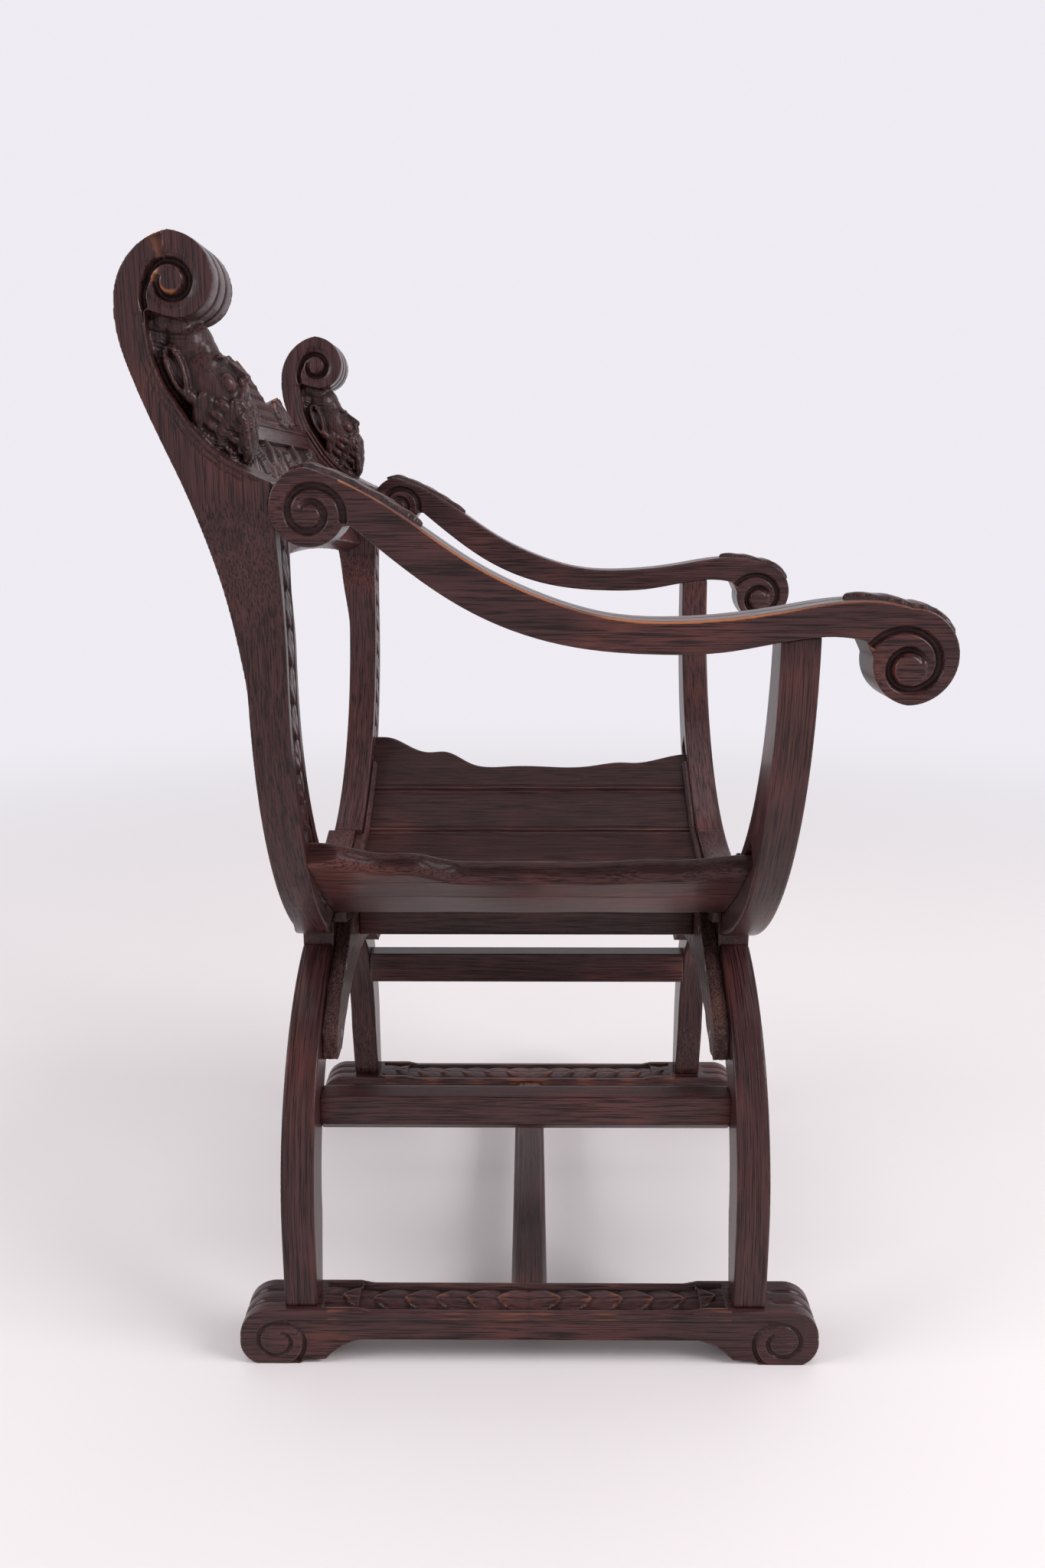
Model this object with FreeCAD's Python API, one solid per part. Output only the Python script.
import FreeCAD, Part
import math
import os

# Carved oak X-frame armchair with two curved frames, one at the front and one at the back.
# Millimetres. +Z is up, the chair faces -Y, and the sitter's right hand is on the -X side.
# The origin is on the floor under the middle of the chair's bounding box.

os.makedirs("parts", exist_ok=True)
V = FreeCAD.Vector

# Overall sizes
overall_height = 986.0
base_width = 520.0
foot_length = 546.0
arm_overhang = 53.0
back_overhang = 35.0
crest_overhang = 10.0
arm_spread = 676.0
overrun = 40.0
same_point = 0.005

# Feet
foot_height = 58.0
foot_width = 47.5
foot_pad_length = 40.0
foot_pad_setback = 16.0
foot_pad_rise = 4.5
foot_step_length = 24.0
foot_arch_run = 34.0
foot_arch_rise = 26.0
foot_nose_length = 26.0
foot_nose_height = 28.0
foot_heel_length = 14.0
foot_waist_drop = 3.0
foot_waist_length = 300.0
foot_waist_run = 14.0
leaf_panel_length = 324.0
leaf_panel_width = 35.0
leaf_panel_depth = 3.0

# Curved frames
frame_thickness = 31.0
front_frame_inset = 50.0
back_frame_inset = 42.5
waist_half_width = 88.0
frame_edge_radius = 1.5

# Legs, the lower half of each frame
leg_setback = 5.0
leg_spring_height = 131.0
leg_outer_radius = 238.0
leg_width = 48.0
leg_ankle_width = 32.5

# Posts, the upper half of each frame
post_radius = 330.0
post_centre_height = 686.5
post_waist_thickness = 58.0
front_post_top_thickness = 36.0
back_post_radius = 305.0
back_post_top_thickness = 45.0

# Mortise and tenon joints
joint_fit = 0.2
tenon_thickness = 11.0
tenon_shoulder = 1.5
block_tenon_length = 30.0
post_tenon_height = 34.0
post_tenon_rise = 9.0
leg_tenon_height = 24.0
leg_tenon_rise = 8.0
foot_tenon_length = 26.0
foot_tenon_width = 22.0
arm_tenon_length = 16.0
arm_tenon_width = 24.0
stretcher_tenon_length = 16.0
stretcher_tenon_width = 11.0

# Side stretchers, between the front and back legs
side_stretcher_bottom = 208.0
side_stretcher_height = 37.0
side_stretcher_width = 25.0
side_stretcher_outer_half = 199.0
side_stretcher_chamfer = 9.0
side_tenon_offset = 5.7

# Cross stretcher, between the feet
cross_stretcher_bottom = 28.0
cross_stretcher_height = 24.0
cross_stretcher_width = 35.0
cross_stretcher_chamfer = 5.0
cross_stretcher_offset = 0.0

# Seat boards and the rail below them
seat_edge_half = 215.0
seat_edge_height = 492.0
seat_joint_one_half = 166.0
seat_joint_one_height = 457.0
seat_joint_two_half = 107.0
seat_joint_two_height = 422.0
seat_joint_three_half = 38.0
seat_joint_three_height = 405.0
seat_board_thickness = 22.0
seat_housing_depth = 8.0
seat_board_gap = 0.2
seat_bead_radius = 2.4
seat_groove_depth = 1.6
side_board_rear_rise = 30.0
side_board_front_rise = 5.0
side_board_dip = 16.0
side_board_edge_radius = 9.0
seat_strip_size = 7.0
cleat_height = 12.0
cleat_thickness = 9.0
cleat_start_half = 66.0
under_rail_bottom = 339.0
under_rail_width = 24.0

# Braces behind the crossings
brace_thickness = 15.0
brace_top_half = 52.0
brace_top_height = 379.0
brace_margin = 5.0
brace_foot_half = 176.0
brace_foot_height = 272.0
brace_end_width = 26.0
brace_apex_height = 318.0
brace_screw_head = 9.0
brace_screw_head_depth = 1.2
brace_screw_shank = 4.5
brace_screw_length = 26.0

# Back posts with the scroll and the head below it
scroll_width = 62.0
post_flare_height = 138.0
post_flare_inner_height = 57.0
post_lean = 7.0
post_lean_start = 374.0
post_lean_rise = 40.0
post_swell = 2.0
scroll_outer_half = 335.0
scroll_top_radius = 33.0
scroll_back_radius = 42.0
scroll_front_radius = 30.5
scroll_bottom_radius = 27.0
scroll_back_extreme_drop = 20.0
rake_start_height = 640.0
hollow_start_height = 812.0
head_recess = 7.0

# Arms
arm_width = 44.0
arm_rear_height = 794.0
arm_rear_overlap = 3.0
arm_rear_radius = 29.0
arm_front_height = 683.0
arm_scroll_radius = 37.0
arm_scroll_back_radius = 28.0
arm_scroll_throat = 12.0
arm_edge_radius = 3.0
arm_dowel_diameter = 12.0
arm_dowel_length = 44.0

# Back rest between the posts
crest_bottom_height = 743.0
crest_setback = 16.0
crest_tilt = 25.5
crest_thickness = 15.0
bottom_rail_thickness = 22.0
bottom_rail_height = 34.0
bottom_rail_arch = 15.0
panel_height = 108.0
panel_thickness = 7.0
panel_groove_depth = 5.0
panel_setback = 6.0
crest_peak_height = 70.0
crest_base_height = 6.0
moulding_width = 12.0
top_moulding_width = 17.0
rail_tenon_length = 14.0
rail_tenon_thickness = 7.0
rail_tenon_shoulder = 3.0
crest_tenon_height = 20.0

# Shares of a way or of a size that give the curves their shape
diagonal_share = math.sqrt(0.5)
arch_bulge_share = 0.75
flare_shares = [(0.04, 0.2), (0.3, 0.5), (0.8, 0.8), (1, 1)]
brace_screw_shares = [(-0.84, 0.2), (-0.6, 0.72), (-0.28, 0.92), (0.28, 0.92), (0.6, 0.72), (0.84, 0.2)]
arm_top_shares = [(0.159, 0.063), (0.263, 0.351), (0.392, 0.604), (0.498, 0.726), (0.615, 0.753),
                  (0.783, 0.685), (0.900, 0.615), (0.955, 0.622)]
arm_under_shares = [(0.905, 0.874), (0.695, 0.964), (0.577, 0.982), (0.445, 0.937), (0.325, 0.805),
                    (0.233, 0.620), (0.152, 0.390), (0.070, 0.119)]
arm_notch_shares = (0.886, 0.464)
lean_shares = [(0.1, 0.25), (0.5, 0.5), (0.9, 0.75), (1, 1)]
rake_shares = [(0.007, 0.044), (0.040, 0.109), (0.153, 0.294), (0.243, 0.415), (0.369, 0.530), (0.550, 0.642),
               (0.740, 0.753), (0.902, 0.862), (0.965, 0.915), (1, 1)]
hollow_shares = [(1, 0.9), (0.965, 0.72), (0.79, 0.46), (0.53, 0.22), (0.25, 0.082), (0, 0)]
head_shares = [(0.02, 0.014), (0.295, 0.07), (0.496, 0.156), (0.51, 0.397), (0.525, 0.51), (0.669, 0.66),
               (0.827, 0.794), (1.30, 0.91), (1.38, 0.63), (1.18, 0.354), (0.77, 0.12)]
side_board_shares = [(0.08, 0.0), (0.19, 0.50), (0.235, 0.47), (0.33, 0.93), (0.45, 1.0), (0.68, 0.98),
                     (0.78, 0.70), (0.82, 0.74), (0.93, 0.22)]
crest_shares = [(0.88, 0.02), (0.795, 0.03), (0.714, 0.09), (0.667, 0.31), (0.623, 0.46), (0.575, 0.50),
                (0.524, 0.45), (0.476, 0.33), (0.443, 0.21), (0.41, 0.17), (0.385, 0.26), (0.35, 0.44),
                (0.29, 0.71), (0.22, 0.88), (0.12, 0.97), (0, 1)]
scroll_shoulder_share = 0.62
scroll_shoulder_reach_share = 0.60
hollow_end_front_share = 0.66
hollow_end_drop_share = 0.74

# Places worked out from the sizes above
overall_depth = foot_length + arm_overhang + back_overhang
front_y = -overall_depth / 2
back_y = overall_depth / 2
foot_front_y = front_y + arm_overhang
foot_back_y = back_y - back_overhang
foot_mid_y = (foot_front_y + foot_back_y) / 2
front_frame_y = (foot_front_y + front_frame_inset, foot_front_y + front_frame_inset + frame_thickness)
back_frame_y = (foot_back_y - back_frame_inset - frame_thickness, foot_back_y - back_frame_inset)
seat_y = (front_frame_y[1] - seat_housing_depth, back_frame_y[0] - post_lean + seat_housing_depth)
foot_outer_x = base_width / 2
foot_inner_x = foot_outer_x - foot_width
leg_outer_x = foot_outer_x - leg_setback
leg_arc_x = leg_outer_x - leg_outer_radius
leg_inner_radius = leg_outer_radius - leg_width
arm_outer_x = arm_spread / 2
arm_inner_x = arm_outer_x - arm_width
post_ring_bottom = post_centre_height - post_radius


def box(x0, x1, y0, y1, z0, z1):
    """Block between two opposite corners, given side by side for each axis."""
    return Part.makeBox(x1 - x0, y1 - y0, z1 - z0, V(x0, y0, z0))


def on_xz(u, v):
    return V(u, 0, v)


def on_yz(u, v):
    return V(0, u, v)


def outline(place, start, steps):
    """Closed face from a start point and steps: ('line', end), ('arc', middle, end) or ('curve', points)."""
    edges = []
    here = place(*start)
    for step in steps:
        kind = step[0]
        if kind == "line":
            there = place(*step[1])
            edges.append(Part.LineSegment(here, there).toShape())
        elif kind == "arc":
            there = place(*step[2])
            edges.append(Part.Arc(here, place(*step[1]), there).toShape())
        else:
            points = [here] + [place(*p) for p in step[1]]
            there = points[-1]
            curve = Part.BSplineCurve()
            curve.interpolate(points)
            edges.append(curve.toShape())
        here = there
    first = place(*start)
    if here.distanceToPoint(first) > same_point:
        edges.append(Part.LineSegment(here, first).toShape())
    return Part.Face(Part.Wire(edges))


def slab_y(face, y0, y1):
    """Solid from a face in the XZ plane, between two depths."""
    moved = face.copy()
    moved.translate(V(0, y0, 0))
    return moved.extrude(V(0, y1 - y0, 0))


def slab_x(face, x0, x1):
    """Solid from a face in the YZ plane, between two widths."""
    moved = face.copy()
    moved.translate(V(x0, 0, 0))
    return moved.extrude(V(x1 - x0, 0, 0))


def mirrored(shape):
    """The same piece on the other side of the chair."""
    return shape.mirror(V(0, 0, 0), V(1, 0, 0))


def circle_height(radius, centre_x, centre_z, x, upper):
    """Height of a circle at one x, on its upper or its lower side."""
    rise = math.sqrt(radius ** 2 - (x - centre_x) ** 2)
    return centre_z + rise if upper else centre_z - rise


def circle_middle(radius, centre, start, end):
    """Point of a circle half way between two of its points, on the short way round."""
    mid_x = (start[0] + end[0]) / 2 - centre[0]
    mid_z = (start[1] + end[1]) / 2 - centre[1]
    reach = math.hypot(mid_x, mid_z)
    return (centre[0] + mid_x * radius / reach, centre[1] + mid_z * radius / reach)


def between(a, b, shares):
    """Points given as shares of the way from a to b, along each axis on its own."""
    return [(a[0] + (b[0] - a[0]) * u, a[1] + (b[1] - a[1]) * v) for u, v in shares]


def long_edges(solid, least, axis_free):
    """Edges at least that long which lie wholly at one of the solid's two faces along the free axis."""
    box_ = solid.BoundBox
    low, high = (box_.YMin, box_.YMax) if axis_free == "y" else (box_.XMin, box_.XMax)
    found = []
    for edge in solid.Edges:
        eb = edge.BoundBox
        e0, e1 = (eb.YMin, eb.YMax) if axis_free == "y" else (eb.XMin, eb.XMax)
        flat = e1 - e0 < joint_fit
        at_face = abs(e0 - low) < joint_fit or abs(e0 - high) < joint_fit
        if flat and at_face and edge.Length >= least:
            found.append(edge)
    return found


def checked(shape, name, solids):
    """The shape with its count of solids and its validity confirmed."""
    shape = shape.removeSplitter()
    if len(shape.Solids) != solids or not shape.isValid():
        raise ValueError(f"{name}: {len(shape.Solids)} solids, valid {shape.isValid()}")
    return shape


def tenon_x(x_from, x_to, y_mid, z_mid, height, fit):
    """Tenon along X, or its mortise when a fit is given."""
    half = tenon_thickness / 2 + fit
    low = min(x_from, x_to) - fit
    high = max(x_from, x_to) + fit
    rise = height / 2 + fit
    return box(low, high, y_mid - half, y_mid + half, z_mid - rise, z_mid + rise)


# Feet

def foot_end(sign):
    """One end of the foot in side view, from the top of its nose down and round to the arch."""
    half = foot_length / 2
    pad_end = half - foot_pad_setback - foot_pad_length
    flat_end = pad_end - foot_step_length
    arch_end = flat_end - foot_arch_run
    nose_side = foot_nose_length * (1 - diagonal_share)
    nose_rise = (foot_height - foot_nose_height) * diagonal_share
    heel_side = foot_heel_length * (1 - diagonal_share)
    heel_drop = foot_nose_height * diagonal_share
    places = [
        (half - foot_nose_length, foot_height),
        (half - nose_side, foot_nose_height + nose_rise),
        (half, foot_nose_height),
        (half - heel_side, foot_nose_height - heel_drop),
        (half - foot_heel_length, 0),
        (pad_end, 0),
        (pad_end - foot_pad_rise, foot_pad_rise),
        (flat_end, foot_pad_rise),
        (flat_end - foot_arch_run / 2, foot_arch_rise * arch_bulge_share),
        (arch_end, foot_arch_rise),
    ]
    return [(foot_mid_y + sign * y, z) for y, z in places]


def foot_end_steps(places):
    """Steps round one end of the foot, from its top to its arch."""
    top, nose, tip, heel, pad_tip, pad_end, riser, flat_end, bulge, arch_end = places
    return [("line", top), ("arc", nose, tip), ("arc", heel, pad_tip), ("line", pad_end), ("line", riser),
            ("line", flat_end), ("arc", bulge, arch_end)]


def foot_profile():
    """Side view of a foot, the same at both ends."""
    front = foot_end(-1)
    top, nose, tip, heel, pad_tip, pad_end, riser, flat_end, bulge, arch_end = foot_end(1)
    waist = foot_waist_length / 2
    crown = foot_height - foot_waist_drop
    steps = [("line", (foot_mid_y - waist - foot_waist_run, foot_height))]
    steps += foot_end_steps(front)
    steps += [
        ("line", arch_end),
        ("arc", bulge, flat_end),
        ("line", riser),
        ("line", pad_end),
        ("line", pad_tip),
        ("arc", heel, tip),
        ("arc", nose, top),
        ("line", (foot_mid_y + waist + foot_waist_run, foot_height)),
        ("line", (foot_mid_y + waist, crown)),
    ]
    return outline(on_yz, (foot_mid_y - waist, crown), steps)


def leg_tenon(y_range, fit):
    """Tenon at the bottom of a right leg, or its mortise in the foot."""
    y_mid = sum(y_range) / 2
    half = tenon_thickness / 2 + fit
    x_mid = -(leg_outer_x - leg_ankle_width / 2)
    wide = foot_tenon_width / 2 + fit
    return box(x_mid - wide, x_mid + wide, y_mid - half, y_mid + half, foot_height - foot_tenon_length - fit,
               foot_height + fit)


def cross_stretcher_box(fit):
    """Cross stretcher with its tenons, before its chamfers, or the mortises when a fit is given."""
    z0 = cross_stretcher_bottom
    y_mid = foot_mid_y + cross_stretcher_offset
    reach = foot_inner_x + stretcher_tenon_length + fit
    half = cross_stretcher_width / 2 - cross_stretcher_chamfer + fit
    inset = (cross_stretcher_height - stretcher_tenon_width) / 2
    return box(-reach, reach, y_mid - half, y_mid + half, z0 + inset - fit,
               z0 + inset + stretcher_tenon_width + fit)


def make_foot():
    solid = slab_x(foot_profile(), -foot_outer_x, -foot_inner_x)
    panel_half = leaf_panel_length / 2
    x_mid = -(foot_outer_x - foot_width / 2)
    panel_floor = foot_height - foot_waist_drop - leaf_panel_depth
    panel = box(x_mid - leaf_panel_width / 2, x_mid + leaf_panel_width / 2, foot_mid_y - panel_half,
                foot_mid_y + panel_half, panel_floor, foot_height + overrun)
    solid = solid.cut(panel)
    for y_range in (front_frame_y, back_frame_y):
        solid = solid.cut(leg_tenon(y_range, joint_fit))
    solid = solid.cut(cross_stretcher_box(joint_fit))
    return checked(solid, "foot", 1)


# Curved frames

def leg_face():
    """Right leg in the XZ plane, from the foot to the waist."""
    centre = (-leg_arc_x, leg_spring_height)
    top_outer = (-waist_half_width,
                 circle_height(leg_outer_radius, centre[0], centre[1], -waist_half_width, True))
    top_inner = (-waist_half_width,
                 circle_height(leg_inner_radius, centre[0], centre[1], -waist_half_width, True))
    spring_outer = (-leg_outer_x, leg_spring_height)
    spring_inner = (-(leg_outer_x - leg_width), leg_spring_height)
    return outline(on_xz, (-leg_outer_x, foot_height), [
        ("line", spring_outer),
        ("arc", circle_middle(leg_outer_radius, centre, spring_outer, top_outer), top_outer),
        ("line", top_inner),
        ("arc", circle_middle(leg_inner_radius, centre, top_inner, spring_inner), spring_inner),
        ("line", (-(leg_outer_x - leg_ankle_width), foot_height)),
    ])


def ring(radius, top_thickness):
    """Inner circle of a post: its radius and the height of its centre."""
    inner_radius = radius - top_thickness
    return inner_radius, post_ring_bottom + post_waist_thickness + inner_radius


def post_arcs(radius, top_thickness):
    """Ends and middles of the two arcs of a right post, outer first."""
    inner_radius, inner_height = ring(radius, top_thickness)
    outer_height = post_ring_bottom + radius
    outer_centre = (0, outer_height)
    inner_centre = (0, inner_height)
    outer_low = (-waist_half_width, circle_height(radius, *outer_centre, waist_half_width, False))
    inner_low = (-waist_half_width, circle_height(inner_radius, *inner_centre, waist_half_width, False))
    outer_high = (-radius, outer_height)
    inner_high = (-inner_radius, inner_height)
    outer_mid = circle_middle(radius, outer_centre, outer_low, outer_high)
    inner_mid = circle_middle(inner_radius, inner_centre, inner_low, inner_high)
    return outer_low, outer_mid, outer_high, inner_low, inner_mid, inner_high


front_ring = (post_radius, front_post_top_thickness)
back_ring = (back_post_radius, back_post_top_thickness)


def front_post_face():
    outer_low, outer_mid, outer_high, inner_low, inner_mid, inner_high = post_arcs(*front_ring)
    top = max(outer_high[1], inner_high[1]) + overrun
    return outline(on_xz, outer_low, [
        ("arc", outer_mid, outer_high),
        ("line", (outer_high[0], top)),
        ("line", (inner_high[0], top)),
        ("line", inner_high),
        ("arc", inner_mid, inner_low),
    ])


def back_post_face():
    """Right back post in the XZ plane: it curves up like the front one and flares out to its scroll."""
    outer_low, outer_mid, outer_high, inner_low, inner_mid, inner_high = post_arcs(*back_ring)
    top = overall_height + overrun
    outer_end = (-scroll_outer_half, outer_high[1] + post_flare_height)
    inner_end = (-(scroll_outer_half - scroll_width), inner_high[1] + post_flare_inner_height)
    inner_curve = between(inner_high, inner_end, flare_shares)
    return outline(on_xz, outer_low, [
        ("arc", outer_mid, outer_high),
        ("curve", between(outer_high, outer_end, flare_shares)),
        ("line", (outer_end[0], top)),
        ("line", (inner_end[0], top)),
        ("line", inner_end),
        ("curve", list(reversed(inner_curve[:-1])) + [inner_high]),
        ("arc", inner_mid, inner_low),
    ])


def block_face(post_ring):
    """Crossing block between the two waists, hollowed above by the seat curve and below by the arch."""
    low_ends = post_arcs(*post_ring)
    inner_low = low_ends[len(low_ends) // 2]
    inner_radius, inner_height = ring(*post_ring)
    leg_centre = (leg_arc_x, leg_spring_height)
    low = (waist_half_width, circle_height(leg_inner_radius, *leg_centre, waist_half_width, True))
    crown = (leg_arc_x, leg_spring_height + leg_inner_radius)
    crown_mid = circle_middle(leg_inner_radius, leg_centre, low, crown)
    return outline(on_xz, (-waist_half_width, inner_low[1]), [
        ("arc", (0, inner_height - inner_radius), (waist_half_width, inner_low[1])),
        ("line", low),
        ("arc", crown_mid, crown),
        ("line", (-crown[0], crown[1])),
        ("arc", (-crown_mid[0], crown_mid[1]), (-low[0], low[1])),
    ])


def block_tenon_heights():
    """Middle heights of the post's and the leg's tenons where they enter the crossing block."""
    outer_low = post_arcs(*front_ring)[0]
    leg_low = circle_height(leg_inner_radius, leg_arc_x, leg_spring_height, waist_half_width, True)
    post_mid = outer_low[1] + post_tenon_rise + post_tenon_height / 2
    leg_mid = leg_low + leg_tenon_rise + leg_tenon_height / 2
    return post_mid, leg_mid


def block_tenons(y_range, fit):
    """Tenons of one right post and one right leg in the crossing block: a pair, post first."""
    y_mid = sum(y_range) / 2
    post_mid, leg_mid = block_tenon_heights()
    x_from = -waist_half_width
    x_to = -waist_half_width + block_tenon_length
    return (tenon_x(x_from, x_to, y_mid, post_mid, post_tenon_height, fit),
            tenon_x(x_from, x_to, y_mid, leg_mid, leg_tenon_height, fit))


def side_stretcher_box(fit):
    """Tenons of the right side stretcher, through both legs' inner faces."""
    x_mid = -(side_stretcher_outer_half - side_stretcher_width / 2 + side_tenon_offset)
    half = stretcher_tenon_width / 2 + fit
    z_mid = side_stretcher_bottom + (side_stretcher_height + side_stretcher_chamfer) / 2
    rise = (side_stretcher_height - side_stretcher_chamfer) / 2 - tenon_shoulder + fit
    return box(x_mid - half, x_mid + half, front_frame_y[1] - stretcher_tenon_length - fit,
               back_frame_y[0] + stretcher_tenon_length + fit, z_mid - rise, z_mid + rise)


def make_leg(y_range):
    solid = slab_y(leg_face(), *y_range)
    solid = solid.makeFillet(frame_edge_radius, long_edges(solid, leg_width * 2, "y"))
    solid = solid.cut(side_stretcher_box(joint_fit))
    solid = solid.fuse(leg_tenon(y_range, 0))
    solid = solid.fuse(block_tenons(y_range, 0)[1])
    return checked(solid, "leg", 1)


def seat_section(extra_gap):
    """Seat boards' cross-sections as lists of XZ corners for the right half, side board first."""
    top = [(-seat_edge_half, seat_edge_height), (-seat_joint_one_half, seat_joint_one_height),
           (-seat_joint_two_half, seat_joint_two_height), (-seat_joint_three_half, seat_joint_three_height),
           (seat_joint_three_half, seat_joint_three_height)]
    normals = []
    for a, b in zip(top, top[1:]):
        run = math.hypot(b[0] - a[0], b[1] - a[1])
        normals.append(((b[1] - a[1]) / run, -(b[0] - a[0]) / run))
    below = [(top[0][0] + normals[0][0] * seat_board_thickness,
              top[0][1] + normals[0][1] * seat_board_thickness)]
    for i in range(1, len(top) - 1):
        nx = normals[i - 1][0] + normals[i][0]
        nz = normals[i - 1][1] + normals[i][1]
        reach = math.hypot(nx, nz)
        turn = (nx * normals[i][0] + nz * normals[i][1]) / reach
        depth = seat_board_thickness / turn
        below.append((top[i][0] + nx / reach * depth, top[i][1] + nz / reach * depth))
    below.append((-below[-1][0], below[-1][1]))
    sections = []
    for i in range(len(top) - 1):
        a, b, c, d = top[i], top[i + 1], below[i + 1], below[i]
        run = math.hypot(b[0] - a[0], b[1] - a[1])
        along = ((b[0] - a[0]) / run * extra_gap / 2, (b[1] - a[1]) / run * extra_gap / 2)
        if i > 0:
            a = (a[0] + along[0], a[1] + along[1])
            d = (d[0] + along[0], d[1] + along[1])
        b = (b[0] - along[0], b[1] - along[1])
        c = (c[0] - along[0], c[1] - along[1])
        sections.append((a, b, c, d))
    return sections


def seat_prism(section, y0, y1):
    a, b, c, d = section
    face = outline(on_xz, a, [("line", b), ("line", c), ("line", d)])
    return slab_y(face, y0, y1)


def seat_housings():
    """Grooves for the ends of the seat boards in the inner faces of the frames."""
    y0 = seat_y[0] - joint_fit
    y1 = seat_y[1] + joint_fit
    pieces = [seat_prism(s, y0, y1) for s in seat_section(0)]
    pieces += [mirrored(p) for p in pieces[:-1]]
    rise = side_board_rear_rise + joint_fit
    section = seat_section(0)[0]
    a, b, d = section[0], section[1], section[-1]
    run = math.hypot(b[0] - a[0], b[1] - a[1])
    up = ((a[0] - b[0]) / run * rise, (a[1] - b[1]) / run * rise)
    lip = ((a[0] + up[0], a[1] + up[1]), a, d, (d[0] + up[0], d[1] + up[1]))
    lip_solid = seat_prism(lip, y0, y1)
    return pieces + [lip_solid, mirrored(lip_solid)]


def make_front_post():
    solid = slab_y(front_post_face(), *front_frame_y)
    solid = solid.makeFillet(frame_edge_radius, long_edges(solid, post_radius, "y"))
    solid = solid.cut(slab_x(arm_underside_face(), -arm_outer_x - overrun, -arm_inner_x + overrun))
    solid = solid.fuse(arm_tenon(0))
    for piece in seat_housings():
        solid = solid.cut(piece)
    solid = solid.fuse(block_tenons(front_frame_y, 0)[0])
    return checked(solid, "front post", 1)


def make_block(y_range, post_ring):
    solid = slab_y(block_face(post_ring), *y_range)
    for tenon in block_tenons(y_range, joint_fit):
        solid = solid.cut(tenon).cut(mirrored(tenon))
    for piece in seat_housings():
        solid = solid.cut(piece)
    return checked(solid, "crossing block", 1)


# Arms

rear_centre = (back_frame_y[0] - post_lean - post_swell + arm_rear_overlap - arm_rear_radius, arm_rear_height)
front_centre = (front_y + arm_scroll_radius, arm_front_height)


def arm_underside():
    """Underside of the arm from the throat of the front scroll back to the notch before the rear volute."""
    throat = (front_centre[0] + arm_scroll_back_radius + arm_scroll_throat / 2,
              front_centre[1] + arm_scroll_throat)
    return [throat] + between(rear_centre, front_centre, arm_under_shares)


def arm_face():
    """Right arm in side view: a volute at the back, a rolled scroll at the front."""
    r = arm_rear_radius
    big = arm_scroll_radius
    slant = r * diagonal_share
    big_slant = big * diagonal_share
    inner_slant = arm_scroll_back_radius * diagonal_share
    crown = (rear_centre[0], rear_centre[1] + r)
    back = (rear_centre[0] + r, rear_centre[1])
    notch = (rear_centre[0] - r * arm_notch_shares[0], rear_centre[1] - r * arm_notch_shares[1])
    under = arm_underside()
    over = (front_centre[0], front_centre[1] + big)
    front = (front_centre[0] - big, front_centre[1])
    low = (front_centre[0], front_centre[1] - big)
    inside = (front_centre[0] + arm_scroll_back_radius, front_centre[1])
    return outline(on_yz, crown, [
        ("curve", between(rear_centre, front_centre, arm_top_shares) + [over]),
        ("arc", (front_centre[0] - big_slant, front_centre[1] + big_slant), front),
        ("arc", (front_centre[0] - big_slant, front_centre[1] - big_slant), low),
        ("arc", (front_centre[0] + inner_slant, front_centre[1] - big_slant), inside),
        ("line", under[0]),
        ("curve", under[1:]),
        ("line", notch),
        ("arc", (rear_centre[0], rear_centre[1] - r), back),
        ("arc", (rear_centre[0] + slant, rear_centre[1] + slant), crown),
    ])


def arm_underside_face():
    """Everything above the underside of the arm, for trimming the front post."""
    under = arm_underside()
    top = arm_rear_height + overrun
    return outline(on_yz, under[0], [
        ("curve", under[1:]),
        ("line", (under[-1][0], top)),
        ("line", (under[0][0], top)),
    ])


def arm_tenon(fit):
    """Tenon on top of the right front post, or its mortise in the arm."""
    y_mid = sum(front_frame_y) / 2
    half = tenon_thickness / 2 + fit
    x_mid = -(post_radius - front_post_top_thickness / 2)
    wide = arm_tenon_width / 2 + fit
    low = arm_underside_height(y_mid)
    return box(x_mid - wide, x_mid + wide, y_mid - half, y_mid + half, low - arm_tenon_length,
               low + arm_tenon_length + fit)


def arm_underside_height(y):
    """Height of the arm's underside at one depth."""
    line = Part.LineSegment(V(0, y, 0), V(0, y, overall_height)).toShape()
    face = arm_underside_face()
    return line.common(face).BoundBox.ZMin


def arm_dowel(fit):
    """Dowel through the rear volute of the right arm into the back post."""
    radius = arm_dowel_diameter / 2 + fit
    x_mid = -(arm_outer_x + arm_inner_x) / 2
    y0 = back_frame_y[0] + arm_rear_overlap - arm_dowel_length / 2
    start = V(x_mid, y0 - fit, arm_rear_height)
    return Part.makeCylinder(radius, arm_dowel_length + 2 * fit, start, V(0, 1, 0))


def make_arm():
    solid = slab_x(arm_face(), -arm_outer_x, -arm_inner_x)
    top_edges = []
    for edge in long_edges(solid, foot_length / 2, "x"):
        if edge.CenterOfMass.z > arm_front_height + arm_scroll_radius:
            top_edges.append(edge)
    solid = solid.makeFillet(arm_edge_radius, top_edges)
    solid = solid.cut(arm_tenon(joint_fit)).cut(arm_dowel(joint_fit))
    return checked(solid, "arm", 1)


# Back posts

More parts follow.
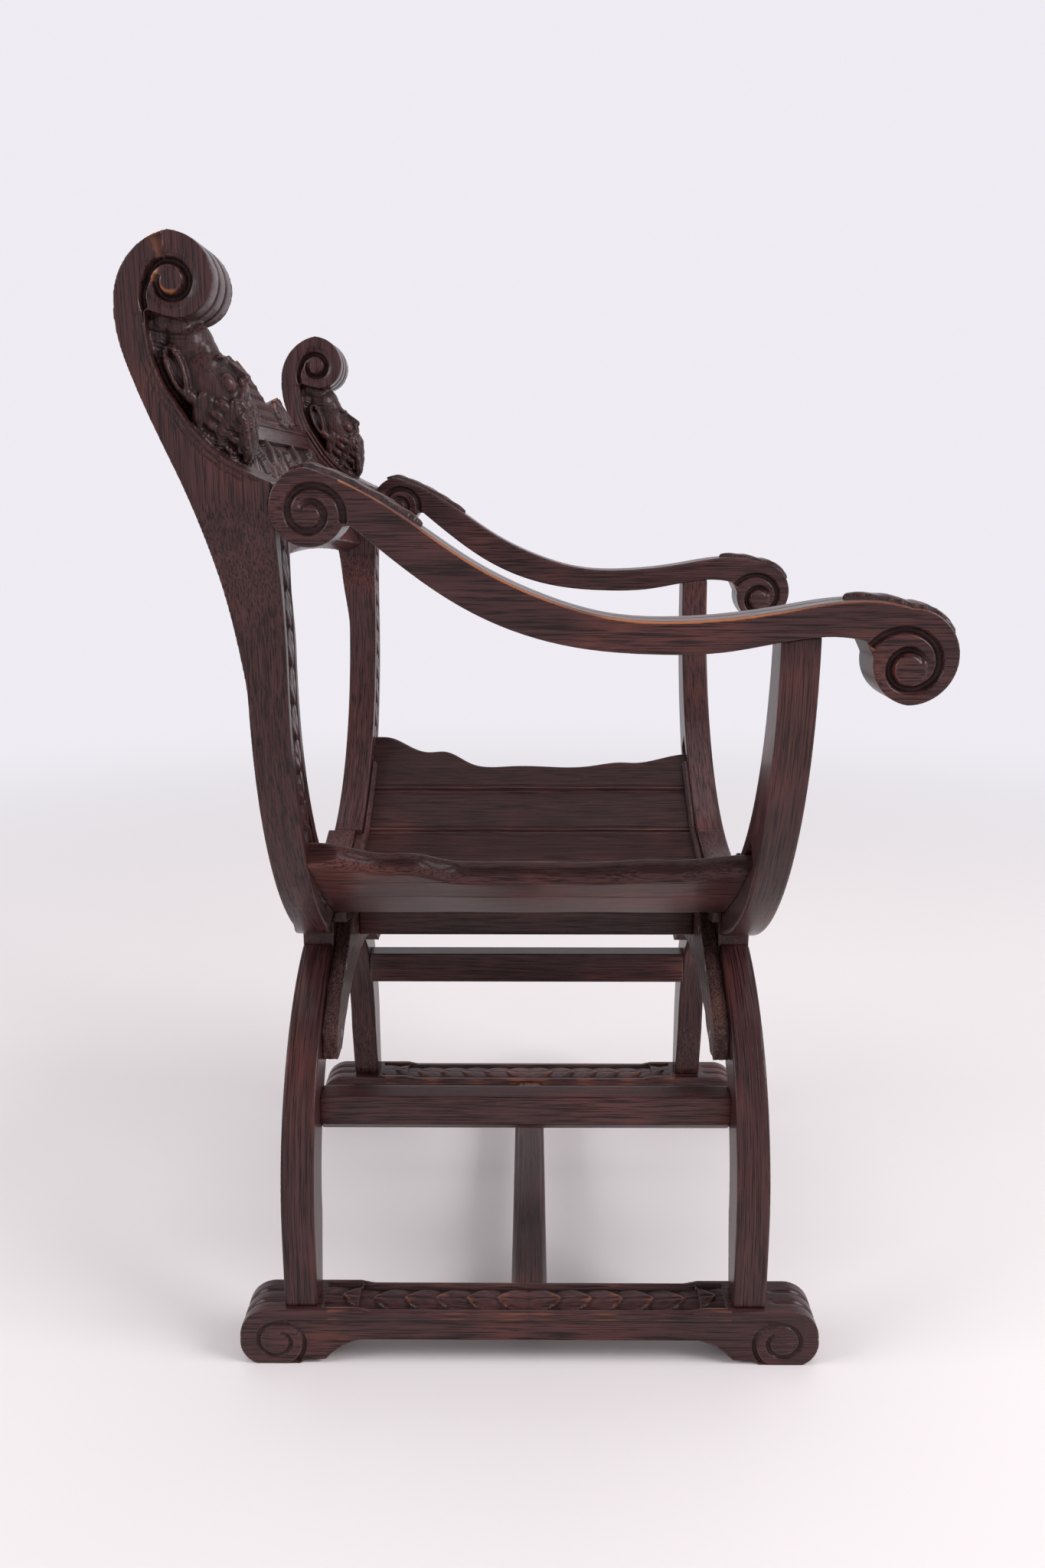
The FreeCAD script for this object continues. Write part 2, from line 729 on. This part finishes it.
scroll_back_y = back_y - crest_overhang
scroll_centre = (scroll_back_y - scroll_back_radius, overall_height - scroll_top_radius)
scroll_back = (scroll_back_y, scroll_centre[1] - scroll_back_extreme_drop)
post_front_y = back_frame_y[0] - post_lean
post_back_y = back_frame_y[1] - post_lean
post_lean_end = post_lean_start + post_lean_rise
hollow_low = (post_front_y - post_swell, hollow_start_height)
hollow_high = (scroll_centre[0] + scroll_front_radius * hollow_end_front_share,
               scroll_centre[1] - scroll_bottom_radius * hollow_end_drop_share)


def back_post_side():
    """Side view of a back post without the head: rake, scroll and hollow."""
    y0, y1 = back_frame_y
    low = post_ring_bottom - overrun
    rake_start = (post_back_y, rake_start_height)
    top = (scroll_centre[0], overall_height)
    nose = (scroll_centre[0] - scroll_front_radius, scroll_centre[1])
    under = (scroll_centre[0], scroll_centre[1] - scroll_bottom_radius)
    upper_back = (scroll_centre[0] + scroll_back_radius * scroll_shoulder_reach_share,
                  scroll_centre[1] + scroll_top_radius * scroll_shoulder_share)
    return outline(on_yz, (y0, low), [
        ("line", (y1, low)),
        ("line", (y1, post_lean_start)),
        ("curve", between((y1, post_lean_start), (post_back_y, post_lean_end), lean_shares)),
        ("line", rake_start),
        ("curve", between(rake_start, scroll_back, rake_shares)),
        ("arc", upper_back, top),
        ("arc", (scroll_centre[0] - scroll_front_radius * diagonal_share,
                 scroll_centre[1] + scroll_top_radius * diagonal_share), nose),
        ("arc", (scroll_centre[0] - scroll_front_radius * diagonal_share,
                 scroll_centre[1] - scroll_bottom_radius * diagonal_share), under),
        ("line", hollow_high),
        ("curve", between(hollow_low, hollow_high, hollow_shares)),
        ("line", (post_front_y, post_lean_end)),
        ("curve", between((post_front_y, post_lean_end), (y0, post_lean_start), lean_shares)),
    ])


def head_side():
    """Side view of the block that the bearded head is carved from."""
    points = between(hollow_low, scroll_centre, head_shares)
    return outline(on_yz, points[0], [("line", p) for p in points[1:]])


def make_back_post(rails):
    side = slab_x(back_post_side(), -scroll_outer_half - overrun, 0)
    solid = slab_y(back_post_face(), back_frame_y[0] - 2 * overrun, back_y + overrun).common(side)
    head = slab_x(head_side(), -scroll_outer_half + head_recess,
                  -scroll_outer_half + scroll_width - head_recess)
    solid = solid.fuse(head)
    volute = slab_x(arm_face(), -arm_outer_x - joint_fit, -arm_inner_x + joint_fit)
    solid = solid.cut(volute).cut(arm_dowel(joint_fit))
    for piece in seat_housings() + rails:
        solid = solid.cut(piece)
    solid = solid.fuse(block_tenons(back_frame_y, 0)[0])
    return checked(solid, "back post", 1)


# Stretchers and the rail under the seat

def make_side_stretcher():
    x0 = -side_stretcher_outer_half
    x1 = x0 + side_stretcher_width
    z0 = side_stretcher_bottom
    z1 = z0 + side_stretcher_height
    face = outline(on_xz, (x0, z1), [
        ("line", (x1, z1)),
        ("line", (x1, z0)),
        ("line", (x0 + side_stretcher_chamfer, z0)),
        ("line", (x0, z0 + side_stretcher_chamfer)),
    ])
    solid = slab_y(face, front_frame_y[1], back_frame_y[0]).fuse(side_stretcher_box(0))
    return checked(solid, "side stretcher", 1)


def make_cross_stretcher():
    y_mid = foot_mid_y + cross_stretcher_offset
    half = cross_stretcher_width / 2
    z0 = cross_stretcher_bottom
    z1 = z0 + cross_stretcher_height
    face = outline(on_yz, (y_mid - half, z0), [
        ("line", (y_mid + half, z0)),
        ("line", (y_mid + half, z1 - cross_stretcher_chamfer)),
        ("line", (y_mid + half - cross_stretcher_chamfer, z1)),
        ("line", (y_mid - half + cross_stretcher_chamfer, z1)),
        ("line", (y_mid - half, z1 - cross_stretcher_chamfer)),
    ])
    solid = slab_x(face, -foot_inner_x, foot_inner_x).fuse(cross_stretcher_box(0))
    return checked(solid, "cross stretcher", 1)


def make_under_rail():
    half = under_rail_width / 2
    y0 = front_frame_y[1] + brace_thickness
    y1 = back_frame_y[0] - brace_thickness
    top = seat_joint_three_height - seat_board_thickness
    return checked(box(-half, half, y0, y1, under_rail_bottom, top), "rail under the seat", 1)


# Braces behind the crossings

def brace_face():
    """Arched brace on the inner face of a frame, from one leg over the crossing to the other."""
    centre = (leg_arc_x, leg_spring_height)
    radius = leg_outer_radius - brace_margin
    shoulder_x = waist_half_width
    shoulder = (shoulder_x, circle_height(radius, *centre, shoulder_x, True))
    foot = (brace_foot_half, circle_height(radius, *centre, brace_foot_half, True))
    foot_mid = circle_middle(radius, centre, shoulder, foot)
    toe = (brace_foot_half, brace_foot_height)
    heel = (brace_foot_half - brace_end_width, brace_foot_height)
    right = [
        ("line", (brace_top_half, brace_top_height)),
        ("line", shoulder),
        ("arc", foot_mid, foot),
        ("line", toe),
        ("line", heel),
        ("arc", (0, brace_apex_height), (-heel[0], heel[1])),
        ("line", (-toe[0], toe[1])),
        ("line", (-foot[0], foot[1])),
        ("arc", (-foot_mid[0], foot_mid[1]), (-shoulder[0], shoulder[1])),
    ]
    return outline(on_xz, (-brace_top_half, brace_top_height), right)


def brace_screws(front):
    """Countersunk screws that hold a brace to its frame, entered from the inner side."""
    inner_y = front_frame_y[1] + brace_thickness if front else back_frame_y[0] - brace_thickness
    toward = V(0, -1, 0) if front else V(0, 1, 0)
    screws = []
    for share_x, share_z in brace_screw_shares:
        x = brace_foot_half * share_x
        z = brace_foot_height + (brace_top_height - brace_margin - brace_foot_height) * share_z - brace_margin
        start = V(x, inner_y, z)
        head = Part.makeCylinder(brace_screw_head / 2, brace_screw_head_depth, start, toward)
        shank = Part.makeCylinder(brace_screw_shank / 2, brace_screw_length, start, toward)
        screws.append(head.fuse(shank).removeSplitter())
    return screws


def make_brace(y_range, screws):
    solid = slab_y(brace_face(), *y_range)
    for screw in screws:
        solid = solid.cut(screw)
    return checked(solid, "brace", 1)


# Seat boards

def seat_groove(section, at_start, y0, y1):
    """Double bead along one edge of a board: two half-round channels cut beside it."""
    a, b = section[0], section[1]
    run = math.hypot(b[0] - a[0], b[1] - a[1])
    ux, uz = (b[0] - a[0]) / run, (b[1] - a[1]) / run
    edge = a if at_start else b
    sign = 1 if at_start else -1
    nx, nz = -uz, ux
    cutters = []
    for channel in range(2):
        along = sign * seat_bead_radius * (2 * channel + 1)
        cx = edge[0] + ux * along + nx * (seat_bead_radius - seat_groove_depth)
        cz = edge[1] + uz * along + nz * (seat_bead_radius - seat_groove_depth)
        radius = (seat_bead_radius + seat_groove_depth) / 2
        cutters.append(Part.makeCylinder(radius, y1 - y0, V(cx, y0, cz), V(0, 1, 0)))
    return cutters


def make_seat_boards():
    """All seat boards, right to left, as a dictionary of names and solids."""
    y0, y1 = seat_y
    sections = seat_section(seat_board_gap)
    names = ["seat_side_board", "seat_upper_board", "seat_lower_board"]
    boards = {}
    for i, name in enumerate(names):
        solid = make_side_board(sections[0], y0, y1) if i == 0 else seat_prism(sections[i], y0, y1)
        for cutter in seat_groove(sections[i], False, y0, y1):
            solid = solid.cut(cutter)
        solid = checked(solid, name, 1)
        boards[name + "_right"] = solid
        boards[name + "_left"] = checked(mirrored(solid), name, 1)
    boards["seat_centre_board"] = checked(seat_prism(sections[-1], y0, y1), "seat centre board", 1)
    return boards


def make_side_board(section, y0, y1):
    """Side board: its upper edge is shaped in its own plane and rounded."""
    a, b, c, d = section
    run = math.hypot(b[0] - a[0], b[1] - a[1])
    ux, uz = (a[0] - b[0]) / run, (a[1] - b[1]) / run
    rise = side_board_rear_rise
    tall = ((a[0] + ux * rise, a[1] + uz * rise), b, c, (d[0] + ux * rise, d[1] + uz * rise))
    board = seat_prism(tall, y0, y1)
    depth = y1 - y0
    low, high = -side_board_dip, side_board_rear_rise
    rear = (y1, high)
    front = (y0, side_board_front_rise)
    points = []
    for share_y, share_z in side_board_shares:
        ends = high if share_y < 1 / 2 else side_board_front_rise
        points.append((rear[0] - depth * share_y, ends + (low - ends) * share_z))

    def in_plane(y, rise_):
        return V(a[0] + ux * rise_, y, a[1] + uz * rise_)

    normal = V(-uz, 0, ux)
    if normal.z < 0:
        normal = normal * -1
    cutter_face = outline(in_plane, rear, [
        ("curve", points + [front]),
        ("line", (front[0] - overrun, front[1])),
        ("line", (front[0] - overrun, high + overrun)),
        ("line", (rear[0] + overrun, high + overrun)),
        ("line", (rear[0] + overrun, rear[1])),
    ])
    moved = cutter_face.copy()
    moved.translate(normal * -overrun)
    shaped = board.cut(moved.extrude(normal * (2 * overrun)))
    edges = []
    for edge in shaped.Edges:
        if edge.Length > depth / 2 and edge.CenterOfMass.z > b[1] + side_board_dip / 2:
            edges.append(edge)
    return shaped.makeFillet(side_board_edge_radius, edges)


def seat_strip_lines():
    """Lower and upper edges of the strip over the seat's top line, as XZ points from right to left."""
    sections = seat_section(0)
    right = [section[0] for section in sections]
    lows = right + [(-x, z) for x, z in reversed(right)]
    highs = []
    for i, (x, z) in enumerate(lows):
        before = lows[max(i - 1, 0)]
        after = lows[min(i + 1, len(lows) - 1)]
        run = math.hypot(after[0] - before[0], after[1] - before[1])
        highs.append((x - (after[1] - before[1]) / run * seat_strip_size,
                      z + (after[0] - before[0]) / run * seat_strip_size))
    return lows, highs


def make_seat_strip(front):
    """Strip with a sloping top that hides the ends of the seat boards against one frame."""
    lows, highs = seat_strip_lines()
    wall = front_frame_y[1] if front else back_frame_y[0]
    nose = wall + seat_strip_size if front else wall - seat_strip_size - post_lean
    steps = [("line", p) for p in lows[1:]] + [("line", p) for p in reversed(highs)]
    solid = slab_y(outline(on_xz, lows[0], steps), min(wall, nose), max(wall, nose))
    middles = [((p[0] + q[0]) / 2, (p[1] + q[1]) / 2) for p, q in zip(highs, highs[1:])]
    edges = []
    for edge in solid.Edges:
        at = edge.CenterOfMass
        if any(at.distanceToPoint(V(x, nose, z)) < joint_fit for x, z in middles):
            edges.append(edge)
    return solid.makeChamfer(seat_strip_size / 2, edges)


def make_cleat(front):
    """Right cleat under the ends of the seat boards, on the inner face of one frame."""
    sections = seat_section(0)
    side, upper, lower = sections[:-1]
    inner = lower[2]
    outer = upper[2]
    share = (cleat_start_half + inner[0]) / (inner[0] - outer[0])
    start = (-cleat_start_half, inner[1] + (outer[1] - inner[1]) * share)
    tops = [side[-1], side[2], outer, start]
    wall = front_frame_y[1] if front else back_frame_y[0]
    nose = wall + cleat_thickness if front else wall - cleat_thickness - post_lean
    steps = [("line", p) for p in tops[1:]]
    steps += [("line", (x, z - cleat_height)) for x, z in reversed(tops)]
    return slab_y(outline(on_xz, tops[0], steps), min(wall, nose), max(wall, nose))


# Back rest between the posts

def rest_place(across, up, deep):
    """Point of the back rest: across it, up its slope from the lower front arris, and back through it."""
    tilt = math.radians(crest_tilt)
    y = post_front_y + crest_setback + up * math.sin(tilt) + deep * math.cos(tilt)
    z = crest_bottom_height + up * math.cos(tilt) - deep * math.sin(tilt)
    return V(across, y, z)


def rest_block(x0, x1, up0, up1, deep0, deep1):
    """Straight piece of the back rest between two opposite corners."""
    corners = [rest_place(x0, up0, deep0), rest_place(x0, up1, deep0), rest_place(x0, up1, deep1),
               rest_place(x0, up0, deep1)]
    face = Part.Face(Part.makePolygon(corners + corners[:1]))
    return face.extrude(V(x1 - x0, 0, 0))


rest_half = scroll_outer_half - scroll_width
panel_low = bottom_rail_height
panel_high = bottom_rail_height + panel_height
crest_peak = panel_high + crest_peak_height


def rail_tenon(up0, up1, fit):
    """Right end tenon of one rail, or its mortise when a fit is given."""
    deep = (crest_thickness - rail_tenon_thickness) / 2
    reach = rest_half + rail_tenon_length + fit
    low = up0 + rail_tenon_shoulder - fit
    high = up1 - rail_tenon_shoulder + fit
    return rest_block(-reach, -rest_half + fit, low, high, deep - fit, deep + rail_tenon_thickness + fit)


def with_tenons(rail, up0, up1):
    """The rail with a tenon at each end."""
    tenon = rail_tenon(up0, up1, 0)
    return rail.fuse(tenon).fuse(mirrored(tenon))


def panel_bar(fit):
    """The panel, or the groove for it in the rails when a fit is given."""
    return rest_block(-rest_half - fit, rest_half + fit, panel_low - panel_groove_depth - fit,
                      panel_high + panel_groove_depth + fit, panel_setback - fit,
                      panel_setback + panel_thickness + fit)


def rest_profile(start, steps, thickness):
    """Solid of one rail of the back rest from an outline on its front face."""
    def at(across, up):
        return rest_place(across, up, 0)

    return outline(at, start, steps).extrude(rest_place(0, 0, thickness) - rest_place(0, 0, 0))


def make_bottom_rail():
    """Bottom rail of the back rest, arched along its lower edge."""
    solid = rest_profile((-rest_half, 0), [
        ("arc", (0, bottom_rail_arch), (rest_half, 0)),
        ("line", (rest_half, bottom_rail_height)),
        ("line", (-rest_half, bottom_rail_height)),
    ], bottom_rail_thickness)
    solid = with_tenons(solid, 0, bottom_rail_height).cut(panel_bar(joint_fit))
    return checked(solid, "bottom rail", 1)


def make_crest_rail():
    """Crest rail: a low leaf on each side and a tall rounded one in the middle, its back cut off upright."""
    base = (rest_half, panel_high + crest_base_height)
    right = between((0, base[1]), (rest_half, crest_peak), crest_shares)
    left = [(-x, up) for x, up in reversed(right[:-1])]
    solid = rest_profile((-rest_half, panel_high), [
        ("line", (rest_half, panel_high)),
        ("line", base),
        ("curve", right + left + [(-base[0], base[1])]),
    ], crest_thickness)
    solid = solid.common(box(-rest_half, rest_half, 0, back_y, 0, overall_height))
    solid = with_tenons(solid, panel_high, panel_high + crest_tenon_height).cut(panel_bar(joint_fit))
    return checked(solid, "crest rail", 1)


def make_panel():
    solid = rest_block(-rest_half, rest_half, panel_low - panel_groove_depth, panel_high + panel_groove_depth,
                       panel_setback, panel_setback + panel_thickness)
    return checked(solid, "back panel", 1)


def make_mouldings():
    """Four mitred strips of the plain frame round the panel: bottom, top, right and left."""
    inner = rest_half - moulding_width
    low = panel_low + moulding_width
    high = panel_high - top_moulding_width
    half = rest_half
    corners = {
        "panel_moulding_bottom": [(-half, panel_low), (half, panel_low), (inner, low), (-inner, low)],
        "panel_moulding_top": [(half, panel_high), (-half, panel_high), (-inner, high), (inner, high)],
        "panel_moulding_right": [(-half, panel_high), (-half, panel_low), (-inner, low), (-inner, high)],
        "panel_moulding_left": [(half, panel_low), (half, panel_high), (inner, high), (inner, low)],
    }
    strips = {}
    for name, points in corners.items():
        at = [rest_place(across, up, 0) for across, up in points]
        face = Part.Face(Part.makePolygon(at + at[:1]))
        strips[name] = checked(face.extrude(rest_place(0, 0, panel_setback) - rest_place(0, 0, 0)), name, 1)
    return strips


def export(name, shape):
    shape.exportStep("parts/" + name + ".step")


def main():
    nodes = {}
    foot = make_foot()
    nodes["foot_right"] = foot
    nodes["foot_left"] = mirrored(foot)
    for word, y_range, post_ring in (("front", front_frame_y, front_ring), ("back", back_frame_y, back_ring)):
        leg = make_leg(y_range)
        nodes[word + "_leg_right"] = leg
        nodes[word + "_leg_left"] = mirrored(leg)
        nodes[word + "_crossing_block"] = make_block(y_range, post_ring)
    arm = make_arm()
    nodes["arm_right"] = arm
    nodes["arm_left"] = mirrored(arm)
    front_post = make_front_post()
    nodes["front_post_right"] = front_post
    nodes["front_post_left"] = mirrored(front_post)
    rails = [rail_tenon(0, bottom_rail_height, joint_fit),
             rail_tenon(panel_high, panel_high + crest_tenon_height, joint_fit)]
    back_post = make_back_post(rails)
    nodes["back_post_right"] = back_post
    nodes["back_post_left"] = mirrored(back_post)
    nodes["arm_dowels"] = Part.makeCompound([arm_dowel(0), mirrored(arm_dowel(0))])
    stretcher = make_side_stretcher()
    nodes["side_stretcher_right"] = stretcher
    nodes["side_stretcher_left"] = mirrored(stretcher)
    nodes["cross_stretcher"] = make_cross_stretcher()
    nodes["under_seat_rail"] = make_under_rail()
    front_screws = brace_screws(True)
    back_screws = brace_screws(False)
    front_brace_y = (front_frame_y[1], front_frame_y[1] + brace_thickness)
    back_brace_y = (back_frame_y[0] - brace_thickness, back_frame_y[0])
    nodes["front_arch_brace"] = make_brace(front_brace_y, front_screws)
    nodes["back_arch_brace"] = make_brace(back_brace_y, back_screws)
    for names, screws in (("front", front_screws), ("back", back_screws)):
        for key in ("_leg_right", "_leg_left", "_crossing_block"):
            for screw in screws:
                nodes[names + key] = nodes[names + key].cut(screw)
    nodes["brace_screws"] = Part.makeCompound(front_screws + back_screws)
    nodes.update(make_seat_boards())
    for word, front in (("front", True), ("back", False)):
        post = nodes[word + "_post_right"]
        cleat = checked(make_cleat(front).cut(post), "cleat", 1)
        nodes["seat_cleat_" + word + "_right"] = cleat
        nodes["seat_cleat_" + word + "_left"] = mirrored(cleat)
        strip = make_seat_strip(front).cut(post).cut(mirrored(post))
        nodes["seat_strip_" + word] = checked(strip, "seat strip", 1)
    nodes["back_bottom_rail"] = make_bottom_rail()
    nodes["crest_rail"] = make_crest_rail()
    nodes["back_panel"] = make_panel()
    nodes.update(make_mouldings())
    for name, shape in nodes.items():
        export(name, shape)
    print(len(nodes), "nodes")


main()
